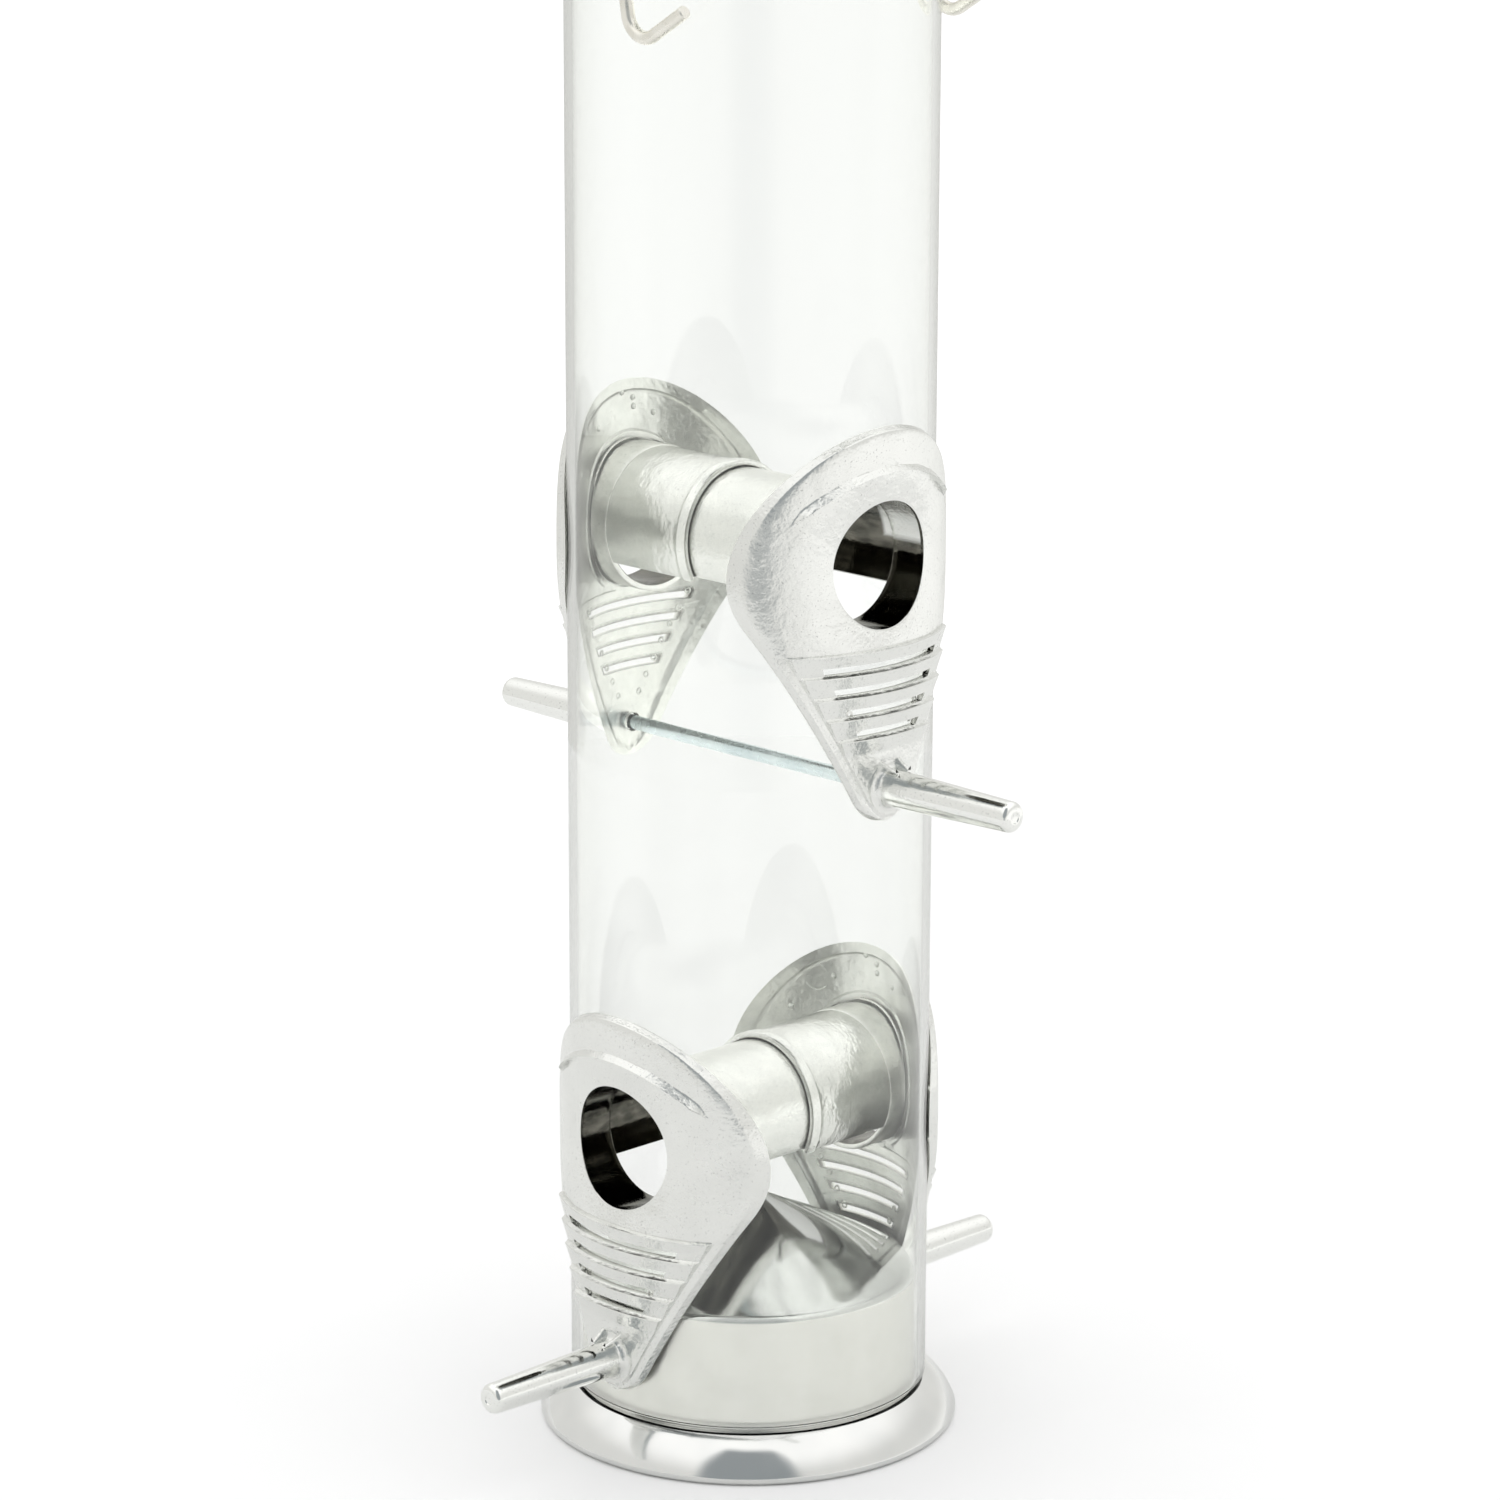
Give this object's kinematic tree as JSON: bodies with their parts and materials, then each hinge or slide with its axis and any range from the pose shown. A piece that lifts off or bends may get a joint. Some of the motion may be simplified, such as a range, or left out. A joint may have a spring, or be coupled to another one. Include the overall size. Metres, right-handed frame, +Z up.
{
  "type": "hanging bird feeder",
  "caption": "Clear tube seed feeder with paired cast ports and perches, a coned base, a conical lid and a wire hanging bail.",
  "frame": {"origin": "on the tube's axis at the underside of the base flange", "axes": "+Z up along the tube; +X towards the upper pair's near port; -Y towards the lower pair's near port"},
  "size_m": [0.126, 0.126, 0.3428],
  "materials": {
    "tube": "clear polycarbonate, glossy",
    "base": "spun and polished, fine turning lines on the cup wall",
    "lid": "spun and polished",
    "bail": "drawn stainless wire, slightly warm",
    "port": "bright plated zinc die casting, satin with a fine orange-peel texture",
    "rod": "blue bright zinc plate"
  },
  "bodies": {
    "feeder": {"tube": "tube", "base": "base", "port_upper_near": "port", "port_upper_far": "port", "port_lower_near": "port", "port_lower_far": "port", "tie_rod_upper": "rod", "tie_rod_lower": "rod"},
    "lid": {"lid": "lid"},
    "bail": {"bail": "bail"}
  },
  "joints": [
    {"name": "lid_lift", "type": "slide", "parent": "feeder", "child": "lid", "axis": [0, 0, 1], "range_m": [0, 0.06]},
    {"name": "bail_slide", "type": "slide", "parent": "lid", "child": "bail", "axis": [-0.1701, 0.0059, 0.9854], "range_m": [0, 0.043]}
  ]
}
